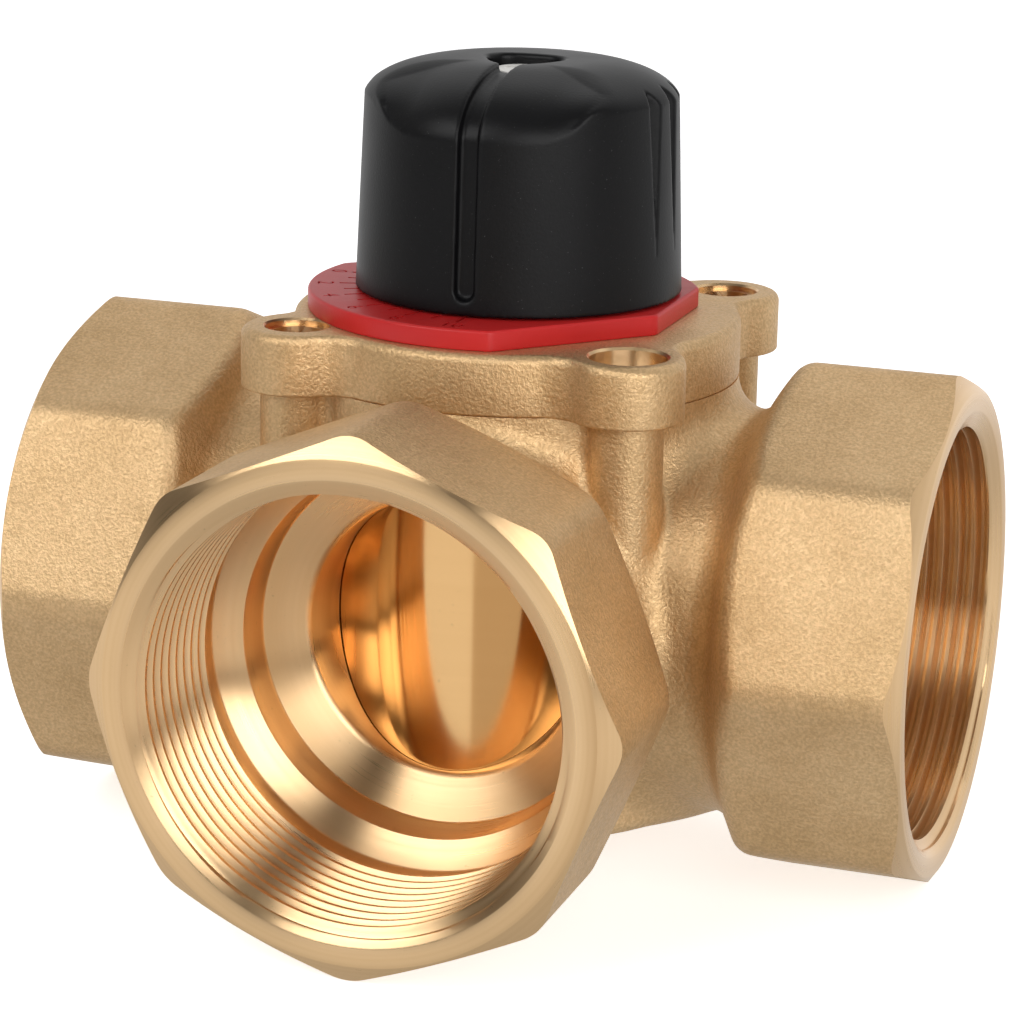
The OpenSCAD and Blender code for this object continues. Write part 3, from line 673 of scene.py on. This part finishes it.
def digits(value, size, depth):
    """A closed solid of generic numerals, flat on XY and centred on the origin."""
    curve = bpy.data.curves.new("numerals", "FONT")
    curve.body = str(value)
    curve.size, curve.extrude = size, depth
    curve.align_x, curve.align_y = "CENTER", "CENTER"
    curve.resolution_u = 4
    holder = bpy.data.objects.new("numerals", curve)
    bpy.context.scene.collection.objects.link(holder)
    graph = bpy.context.evaluated_depsgraph_get()
    mesh = bpy.data.meshes.new_from_object(holder.evaluated_get(graph))
    bpy.data.objects.remove(holder)
    work = bmesh.new()
    work.from_mesh(mesh)
    bmesh.ops.remove_doubles(work, verts=work.verts, dist=1e-4)
    bmesh.ops.recalc_face_normals(work, faces=work.faces)
    work.to_mesh(mesh)
    work.free()
    obj = bpy.data.objects.new("numerals", mesh)
    mesh.materials.clear()
    mesh.materials.append(RED)
    bpy.context.scene.collection.objects.link(obj)
    return obj


def make_dial():
    """Red plate with engraved marks over a quarter turn, from 10 at the front to 0 at the left."""
    top, centre_r, pin_r, bottom_edge, top_edge = DIAL_TOP, 11.0, 1.7, 0.25, 0.45
    mark_depth, half_width = 0.4, 0.24
    long_mark, short_mark = (21.2, 24.9), (21.9, 24.3)
    marks, mark_step, first_mark = 11, 9, -90
    digit_size, digit_depth, digit_r = 3.3, 0.4, 26.9
    rows = edge_rows(0.0, top, dial_outline(OUTLINE_SEGS), bottom_edge, top_edge, 5)
    dial = revolve("dial", rows, [RED], 0, OUTLINE_SEGS)
    centre_hole = [(-1, centre_r), (top - 0.3, centre_r), (top + 1, 12.0)]
    cutters = [hole(centre_hole, [RED], 0, HOLE_SEGS),
               stop_pin_hole(-1, top + 1, pin_r, [RED], 0)]
    for i in range(marks):
        angle = math.radians(first_mark - mark_step * i)
        start, end = short_mark if i % 2 else long_mark
        low, high = (start, -half_width, top - mark_depth), (end, half_width, top + 1)
        cutters.append(slot_cutter(low, high, [RED], Matrix.Rotation(angle, 4, "Z")))
        if i % 2 == 0:
            number = digits(10 - i, digit_size, digit_depth)
            number.data.transform(Matrix.Rotation(angle + math.pi / 2, 4, "Z")
                                  @ Matrix.Translation((0, -digit_r, top)))
            cutters.append(number)
    combine(dial, cutters)
    return finish_piece(dial, "housing", "dial_plate")


# ---------------------------------------------------------------- knob

KNOB_R, KNOB_DRAFT = 22.6, 0.0393


def knob_outside(x, y, z, rho):
    """Drafted wall under a low crown, with the shallow finger scoop at the front."""
    base, top, crown_r, top_edge, bottom_edge = KNOB_LOW[2], KNOB_HIGH[2], 21.75, 0.3, 0.5
    scoop_r, scoop_out, scoop_up, scoop_half, fade_width = 44.0, 40.8, 63.0, 18.0, 9.0
    side = rho - (KNOB_R - KNOB_DRAFT * (z - base))
    full = crown(rho, z, crown_r, flat=9.0, low=29.0, high=top)
    deep = crown(rho, z, crown_r, flat=6.0, low=25.5, high=top)
    solid = common(common(side, full, top_edge), base - z, bottom_edge)
    scoop = scoop_r - np.sqrt(x * x + (y + scoop_out) ** 2 + (z - scoop_up) ** 2)
    # The scoop's floor is a rounder crown, which fades out towards the sides
    fade = np.clip((scoop_half - np.abs(x)) / fade_width, 0, 1)
    floor = full + (deep - full) * fade * fade * (3 - 2 * fade)
    floor = np.maximum(np.maximum(side, floor), base - z)
    return np.minimum(common(solid, scoop, 0.4 + np.clip(z - 30, 0, 2)), floor)


def cut_pointer_groove(solid, x, y, z):
    """The groove follows the wall and the scoop, and is rounded at its lower end."""
    half_width, depth, low_end, floor_edge, rim_edge, inner_end = 1.35, 1.2, 6.4, 0.6, 0.5, 3
    end = np.sqrt(x * x + np.minimum(z - low_end, 0) ** 2) - half_width
    groove = np.maximum(common(end, -(solid + depth), floor_edge), y + inner_end)
    return common(solid, -groove, rim_edge)


def cut_notches(solid, x, y, z):
    """Three wedge grips on each side, deepest at the top."""
    base, tip, height, full_depth, spacing, edge = KNOB_LOW[2], 10.5, 18.0, 1.6, 15, 0.3
    for centre in (0, 180):
        for turn in (-spacing, 0, spacing):
            c, s = math.cos(math.radians(centre + turn)), math.sin(math.radians(centre + turn))
            out, across = x * c + y * s, -x * s + y * c
            depth = np.clip((z - tip) / height, 0, 1.1) * full_depth
            apex = (KNOB_R - KNOB_DRAFT * (z - base)) - depth
            notch = (np.abs(across) * 0.8 - (out - apex) * 0.62)
            solid = common(solid, -np.where(z > tip - 0.5, notch, 5.0), edge)
    return solid


def cut_screw_recess(solid, x, y, z, rho):
    """Rounded triangle over the screw's head."""
    inner_r, outer_r, bottom, corner, floor_edge, rim_edge = 4.65, 5.6, 29.6, 1.2, 0.2, 0.7
    sides = [x * math.cos(t) + y * math.sin(t) for t in np.radians([90, 210, 330])]
    triangle = np.max(sides, axis=0) - inner_r
    recess = common(common(rho - outer_r, triangle, corner), bottom - z, floor_edge)
    return common(solid, -recess, rim_edge)


def cut_underside(solid, x, y, z, rho):
    """Hollow skirt round a boss, two stop ribs, the bore for the insert and the screw's hole."""
    skirt_r, boss_r, roof, insert_r, insert_top, screw_r = 19.4, 10.6, 20.0, 8.0, 21.5, 2.85
    half_rib, rib_slack = 1.5, 11.9
    skirt = np.maximum(np.maximum(rho - skirt_r, boss_r - rho), z - roof)
    for turn in (90 - rib_slack, 180 + rib_slack):
        c, s = math.cos(math.radians(turn)), math.sin(math.radians(turn))
        ends = np.maximum(-(x * c + y * s), KNOB_LOW[2] + 1 - z)
        skirt = np.maximum(skirt, -np.maximum(np.abs(-x * s + y * c) - half_rib, ends))
    solid = np.maximum(solid, -skirt)
    bore = np.maximum(rho - insert_r, z - insert_top)
    return np.maximum(np.maximum(solid, -bore), -(rho - screw_r))


def knob_field(x, y, z):
    rho = np.sqrt(x * x + y * y)
    solid = knob_outside(x, y, z, rho)
    solid = cut_pointer_groove(solid, x, y, z)
    solid = cut_notches(solid, x, y, z)
    solid = cut_screw_recess(solid, x, y, z, rho)
    return cut_underside(solid, x, y, z, rho)


def make_knob():
    step, half, margin = 0.26, 24.2, 1.5
    low = np.array([-half, -half, KNOB_LOW[2] - margin])
    high = np.array([half, half, KNOB_HIGH[2] + margin])
    knob = solid_from_field("hand_knob", knob_field(*lattice(low, high, step)), low, step, [BLACK])
    return finish_piece(knob, "rotor_assembly", "knob", 40.0)


def make_knob_screw():
    """Cross-recess screw whose low head shows in the knob's recess."""
    low, high = box_mm("knob_screw")[0][2], box_mm("knob_screw")[1][2]
    head_h, head_r, shank_r = 2.8, 4.2, 2.45
    minor, depth, pitch, row_gap = 2.0, 0.45, 0.8, 0.1
    head = high - head_h
    rows = [(low, 0), (low, 1.9), (low + 0.6, 2.4)]
    rows += [(z, small_thread(z, low, head, minor, depth, pitch, HOLE_SEGS))
             for z in np.arange(low + 0.7, head - 1, row_gap)]
    rows += [(head - 0.9, shank_r), (head, shank_r), (head, 4.1), (head + 0.2, head_r),
             (head + 2.3, head_r), (head + 2.58, 4.0), (head + 2.72, 3.5), (head + head_h, 2.2),
             (head + head_h, 0)]
    screw = revolve("knob_screw_head", rows, [NICKEL], 0, HOLE_SEGS)
    half_long, half_wide, cross_depth, cross_turn = 2.4, 0.45, 1.3, 20
    combine(screw, [slot_cutter((-half_long, -half_wide, high - cross_depth),
                                (half_long, half_wide, high + 1), [NICKEL],
                                about_z(turn + cross_turn)) for turn in (0, 90)])
    return finish_piece(screw, "rotor_assembly", "knob_screw")


# ---------------------------------------------------------------- rotor


def make_rotor():
    """Two discs joined by a polished closing segment and a hub; the inside is cut away."""
    pivot_h, pivot_r, r, disc, edge = 2.2, 4.0, 27.13, 3.4, 0.3
    inner_r, clear_r, half_angle = 22.0, 34.0, 48.5
    hub_r, hub_h, stem_r, pin_r, pin_reach = 10.0, 6, 6.0, 1.5, 30
    looks, polished = BRASSES + [POLISHED], len(BRASSES)
    top, low = ROTOR_HIGH[2], ROTOR_LOW[2] + pivot_h
    rows = [(low - pivot_h, 0), (low - pivot_h, 3.7), (low - 1.9, pivot_r), (low, pivot_r),
            (low, r - edge), (low + edge, r), (top - edge, r), (top, r - edge), (top, 0)]
    rotor = revolve("rotor_body", rows, looks, polished, FINE_SEGS)
    roof, floor = top - disc, low + disc
    turn = np.arange(FINE_SEGS) * 2 * np.pi / FINE_SEGS
    off_front = np.abs(np.mod(turn + np.pi / 2 + np.pi, 2 * np.pi) - np.pi)
    wall = np.where(off_front < math.radians(half_angle), inner_r, clear_r)
    inside = [(floor, 0), (floor, wall), (roof, wall), (roof, hub_r), (roof - hub_h, hub_r),
              (roof - hub_h, 0)]
    combine(rotor, [revolve("cutter", inside, looks, polished, FINE_SEGS)])
    bore = hole([(roof - 5, stem_r), (top + 1, stem_r)], looks, polished, HOLE_SEGS)
    across = Matrix.Translation((0, 0, roof - 3)) @ Matrix.Rotation(math.radians(90), 4, "Y")
    pin = hole([(-pin_reach, pin_r), (pin_reach, pin_r)], looks, polished, SMALL_SEGS, across)
    combine(rotor, [bore, pin])
    return finish_piece(rotor, "rotor_assembly", "rotor")


make_body()
make_cover()
make_cover_screw("screw_front", SCREWED[0], "cover_screw_front")
make_cover_screw("screw_back", SCREWED[1], "cover_screw_back")
make_dial()
make_knob()
make_knob_screw()
make_rotor()

# Small inner CAD pieces keep their shapes and get a material
for look, names in ((RUBBER, ("cover_seal", "stem_seal_upper", "stem_seal_lower")),
                    (WHITE, ("stem_bush", "lower_bush", "thrust_washer")),
                    (STEEL, ("stop_pin", "retaining_ring", "rotor_pin")),
                    (ZINC, ("knob_washer",)),
                    (TURNED_Z, ("stem", "knob_insert"))):
    for node in names:
        mesh = frame["nodes"][node].data
        mesh.materials.clear()
        mesh.materials.append(look)

# ---------------------------------------------------------------- stage, light and camera


def make_stage():
    """A wide pale floor that lights the underside but doesn't show in reflections."""
    z = BODY_LOW[2] * MM - 0.0002
    n, half = 40, 2.5
    line = np.linspace(-half, half, n)
    verts = [(x, y, z) for y in line for x in line]
    faces = [(j * n + i, j * n + i + 1, (j + 1) * n + i + 1, (j + 1) * n + i)
             for j in range(n - 1) for i in range(n - 1)]
    mesh = bpy.data.meshes.new("floor")
    mesh.from_pydata(verts, [], faces)
    floor = bpy.data.objects.new("floor", mesh)
    bpy.context.scene.collection.objects.link(floor)
    look = Look("floor_paper", Roughness=0.85, Emission_Color=(1, 1, 1, 1), Emission_Strength=0.62)
    tone = look.grey(look.noise(9, 3, 0.5), 0, 1)
    paper = look.mix(tone, (0.95, 0.95, 0.95), (0.97, 0.97, 0.97))
    mesh.materials.append(look.use(Base_Color=paper))
    floor.visible_glossy = False


def soft_box(name, azimuth, elevation, wide, tall, level):
    """A soft box of a given brightness, placed by its direction and spread in degrees."""
    distance, centre = 1.2, Vector((0, 0, -0.03))
    a, e = math.radians(azimuth), math.radians(elevation)
    out = Vector((math.sin(a) * math.cos(e), -math.cos(a) * math.cos(e), math.sin(e)))
    size = [2 * distance * math.tan(math.radians(v) / 2) for v in (wide, tall)]
    light = bpy.data.lights.new(name, "AREA")
    light.shape, light.size, light.size_y = "RECTANGLE", *size
    light.energy = level * math.pi * size[0] * size[1]
    holder = bpy.data.objects.new(name, light)
    holder.location = out * distance + centre
    aim = centre - (out * distance + centre)
    holder.rotation_euler = aim.to_track_quat("-Z", "Y").to_euler()
    holder.visible_camera = False
    bpy.context.scene.collection.objects.link(holder)


def make_light():
    """A pale studio: white to the camera, and in reflections a bright backdrop and a low bright
    band in front under a dark gap, with three soft boxes."""
    world = bpy.data.worlds.new("studio")
    bpy.context.scene.world = world
    world.use_nodes = True
    tree = world.node_tree
    link = tree.links.new
    background = tree.nodes["Background"]
    direction = tree.nodes.new("ShaderNodeTexCoord")
    split = tree.nodes.new("ShaderNodeSeparateXYZ")
    link(direction.outputs["Generated"], split.inputs[0])

    def spread(output, low, high):
        """A smooth step from 0 to 1 between two values."""
        made = tree.nodes.new("ShaderNodeMapRange")
        made.interpolation_type = "SMOOTHSTEP"
        made.inputs["From Min"].default_value = low
        made.inputs["From Max"].default_value = high
        link(output, made.inputs["Value"])
        return made.outputs["Result"]

    def levels(stops):
        """Colour by height: each stop is (degrees above the horizon, grey level or colour)."""
        made = tree.nodes.new("ShaderNodeValToRGB")
        height = tree.nodes.new("ShaderNodeMapRange")
        height.inputs["From Min"].default_value = -1
        link(split.outputs["Z"], height.inputs["Value"])
        link(height.outputs["Result"], made.inputs[0])
        fill_ramp(made.color_ramp, [
            ((math.sin(math.radians(degrees)) + 1) / 2,
             level if isinstance(level, tuple) else (level, level, level))
            for degrees, level in stops])
        return made.outputs["Color"]

    def mix(factor, a, b):
        made = tree.nodes.new("ShaderNodeMix")
        made.data_type = "RGBA"
        for at, source in ((MIX_FACTOR, factor), (MIX_A, a), (MIX_B, b)):
            link(source, made.inputs[at])
        return made.outputs[2]

    warm, dim = (0.60, 0.53, 0.45), (0.05, 0.045, 0.04)
    back = levels(((-90, 0.5), (-35, 0.55), (-8, 0.95), (10, 0.9), (24, 0.5), (38, 0.9), (52, 0.85),
                   (70, 0.4)))
    side = levels(((-90, 0.45), (-50, 0.62), (-20, 0.92), (-7, 0.92), (-3, dim), (55, dim),
                   (75, 0.4)))
    middle = levels(((-90, 0.45), (-50, 0.6), (-20, warm), (-8, warm), (-4, dim), (50, dim),
                     (75, 0.4)))
    front = mix(spread(split.outputs["X"], -0.09, -0.05), side, middle)
    front = mix(spread(split.outputs["X"], 0.38, 0.44), front, side)
    tent = mix(spread(split.outputs["Y"], -0.3, 0.3), front, back)
    seen = tree.nodes.new("ShaderNodeLightPath")
    pale = tree.nodes.new("ShaderNodeRGB")
    pale.outputs[0].default_value = (1, 1, 1, 1)
    shown = mix(seen.outputs["Is Camera Ray"], tent, pale.outputs[0])
    link(shown, background.inputs["Color"])
    soft_box("box_right", 39.5, 19, 49, 34, 3.5)
    soft_box("box_left", -30, 34, 40, 32, 3.5)
    soft_box("box_back", 170, 62, 50, 30, 0.5)


def make_camera():
    """Camera at the fitted viewpoint; its focal length is in pixels of a 1024 pixel frame."""
    sensor, focal_px, frame_px = 36.0, 3328.0, 1024.0
    yaw, pitch, roll = math.radians(18.91), math.radians(15.40), 0.0200
    data = bpy.data.cameras.new("camera")
    data.sensor_width = sensor
    data.lens = sensor * focal_px / frame_px
    data.shift_x, data.shift_y = -0.0069, -0.0088
    forward = Vector((-math.sin(yaw) * math.cos(pitch), math.cos(yaw) * math.cos(pitch),
                      -math.sin(pitch)))
    right = forward.cross(Vector((0, 0, 1))).normalized()
    above = right.cross(forward)
    right, above = (right * math.cos(roll) + above * math.sin(roll),
                    above * math.cos(roll) - right * math.sin(roll))
    matrix = Matrix((right, above, -forward)).transposed().to_4x4()
    matrix.translation = Vector((0.1476, -0.4288, 0.1366 + PORT_Z * MM))
    holder = bpy.data.objects.new("camera", data)
    holder.matrix_world = matrix
    bpy.context.scene.collection.objects.link(holder)
    bpy.context.scene.camera = holder


make_stage()
make_light()
make_camera()
bpy.context.scene.view_settings.view_transform = "Standard"
